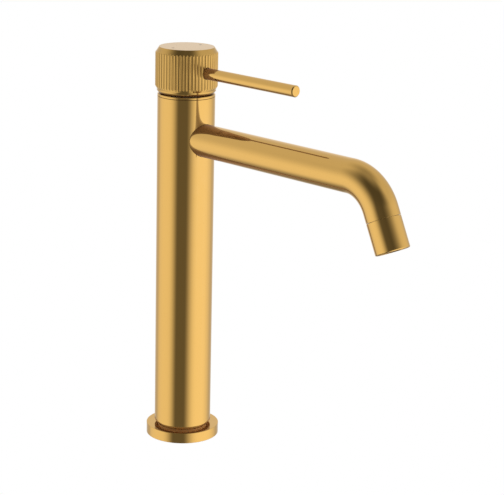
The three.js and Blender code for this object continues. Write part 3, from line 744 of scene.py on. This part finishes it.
# The hidden pieces keep their frame shape and take their slot's finish.
PLAIN_FINISHES = {
    "black_rubber": (
        "base_seal",
        "foot_seal",
        "spout_seal",
        "aerator_washer",
        "hot_port_seal",
        "cold_port_seal",
        "outlet_port_seal",
    ),
    "copper_tube": ("hot_riser_tube", "cold_riser_tube"),
    "raw_brass": ("valve_block", "cartridge_nut", "stem"),
    "fine_steel": ("aerator_screen", "stem_pin", "handle_grub_screw"),
    "pale_plastic": ("cartridge_housing", "cartridge_base", "disc_carrier", "stem_rotor"),
    "white_ceramic": ("fixed_disc", "moving_disc"),
}
for slot_name, node_names in PLAIN_FINISHES.items():
    for node_name in node_names:
        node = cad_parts[node_name]
        for place in node.material_slots:
            place.material = SLOT_MATERIALS[slot_name]


# Studio: camera, pale floor and one soft light dome.

TO_CAMERA = Vector((-0.6632, -0.7484, 0))
RIGHTWARD = Vector((0.7484, -0.6632, 0))


CAMERA_PLACE = (-0.8960, -1.0112, 0.5186)
CAMERA_SWING, CAMERA_DIP, CAMERA_ROLL = 2.267, 15.044, 1.295


def make_camera():
    swing, dip, roll = map(math.radians, (CAMERA_SWING, CAMERA_DIP, CAMERA_ROLL))
    level = -TO_CAMERA * math.cos(swing) + RIGHTWARD * math.sin(swing)
    side = RIGHTWARD * math.cos(swing) + TO_CAMERA * math.sin(swing)
    ahead = level * math.cos(dip) - Vector((0, 0, 1)) * math.sin(dip)
    up = side.cross(ahead)
    right = side * math.cos(roll) + up * math.sin(roll)
    top = up * math.cos(roll) - side * math.sin(roll)
    turn = Matrix((right, top, -ahead)).transposed().to_4x4()
    camera = bpy.data.objects.new("camera", bpy.data.cameras.new("camera"))
    camera.data.lens = 126
    camera.data.sensor_width = 36
    camera.data.clip_start = 0.05
    camera.matrix_world = Matrix.Translation(CAMERA_PLACE) @ turn
    scene.collection.objects.link(camera)
    scene.camera = camera


def make_floor(half=6.0, z=-0.0004):
    mesh = bpy.data.meshes.new("floor")
    corners = [(-half, -half, z), (half, -half, z), (half, half, z), (-half, half, z)]
    mesh.from_pydata(corners, [], [(0, 1, 2, 3)])
    floor = bpy.data.objects.new("floor", mesh)
    scene.collection.objects.link(floor)
    material = bpy.data.materials.new("pale_floor")
    material.use_nodes = True
    tree = material.node_tree
    tree.nodes.clear()
    glow = add_node(tree, "ShaderNodeEmission", Color=(1, 1, 1, 1), Strength=1.0)
    end = add_node(tree, "ShaderNodeOutputMaterial")
    tree.links.new(glow.outputs[0], end.inputs["Surface"])
    mesh.materials.append(material)
    floor.visible_glossy = False
    floor.visible_diffuse = False
    floor.visible_shadow = False


# Soft panels stood round the faucet: compass angle from the front, how far the full light and the
# faded light reach to either side, in degrees, and brightness.
LOW_PANELS = {
    "left": (-84, 0, 56, 0.73),
    "right": (72, 0, 70, 0.85),
    "wall_behind": (180, 0, 80, 0.5),
    "strip_behind": (180, 0, 25, 0.3),
}
HIGH_PANELS = {"upper_wall": (165, 85, 160, 0.52)}
LOW_ROOM_LIGHT = 0.13
HIGH_ROOM_LIGHT = 0.08
# Heights above the horizon, in degrees, between which each layer of the studio fades.
LOW_PANELS_FADE = (-15, 40)
FLOOR_FADE = (-78, -36)
CEILING_FADE = (48, 86)
# The floor's shade comes further up the front than the back.
FLOOR_LEAN = 30
FLOOR_LIGHT = 0.2
CEILING_LIGHT = 0.32


def make_dome():
    world = bpy.data.worlds.new("studio")
    scene.world = world
    world.use_nodes = True
    tree = world.node_tree
    tree.nodes.clear()
    link = tree.links.new

    def calc(operation, *terms):
        node = add_node(tree, "ShaderNodeMath", {"operation": operation})
        for place, term in enumerate(terms):
            if isinstance(term, (int, float)):
                node.inputs[place].default_value = term
            else:
                link(term, node.inputs[place])
        return node.outputs[0]

    def along(vector):
        node = add_node(tree, "ShaderNodeVectorMath", {"operation": "DOT_PRODUCT"})
        link(way, node.inputs[0])
        node.inputs[1].default_value = vector
        return node.outputs["Value"]

    def fade(value, start, end, low=0.0, high=1.0):
        node = add_node(tree, "ShaderNodeMapRange", {"interpolation_type": "SMOOTHSTEP"})
        link(value, node.inputs["Value"])
        for label, number in (("From Min", start), ("From Max", end), ("To Min", low), ("To Max", high)):
            node.inputs[label].default_value = number
        return node.outputs["Result"]

    def blend(share, under, over):
        return calc("MULTIPLY_ADD", share, calc("SUBTRACT", over, under), under)

    def lit_by(panels, room_light):
        total = room_light
        for angle, full, faded, brightness in panels.values():
            facing = calc("COSINE", calc("SUBTRACT", compass, math.radians(angle)))
            start, end = math.cos(math.radians(faded)), math.cos(math.radians(full))
            total = calc("ADD", total, fade(facing, start, end, 0.0, brightness))
        return total

    way = add_node(tree, "ShaderNodeTexCoord").outputs["Generated"]
    compass = calc("ARCTAN2", along(RIGHTWARD), along(TO_CAMERA))
    height = calc("ARCSINE", along((0, 0, 1)))
    leaning = calc("MULTIPLY_ADD", calc("COSINE", compass), math.radians(FLOOR_LEAN), height)
    raised = fade(height, *map(math.radians, LOW_PANELS_FADE))
    above_floor = fade(leaning, *map(math.radians, FLOOR_FADE))
    overhead = fade(height, *map(math.radians, CEILING_FADE))
    low = lit_by(LOW_PANELS, LOW_ROOM_LIGHT)
    high = lit_by(HIGH_PANELS, HIGH_ROOM_LIGHT)
    sides = blend(raised, low, high)
    light = blend(above_floor, FLOOR_LIGHT, blend(overhead, sides, CEILING_LIGHT))

    studio = add_node(tree, "ShaderNodeBackground", Color=(1, 1, 1, 1))
    backdrop = add_node(tree, "ShaderNodeBackground", Color=(1, 1, 1, 1), Strength=1.0)
    seen = add_node(tree, "ShaderNodeLightPath")
    pick = add_node(tree, "ShaderNodeMixShader")
    end = add_node(tree, "ShaderNodeOutputWorld")
    link(light, studio.inputs["Strength"])
    link(seen.outputs["Is Camera Ray"], pick.inputs[0])
    link(studio.outputs[0], pick.inputs[1])
    link(backdrop.outputs[0], pick.inputs[2])
    link(pick.outputs[0], end.inputs["Surface"])


make_camera()
make_floor()
make_dome()
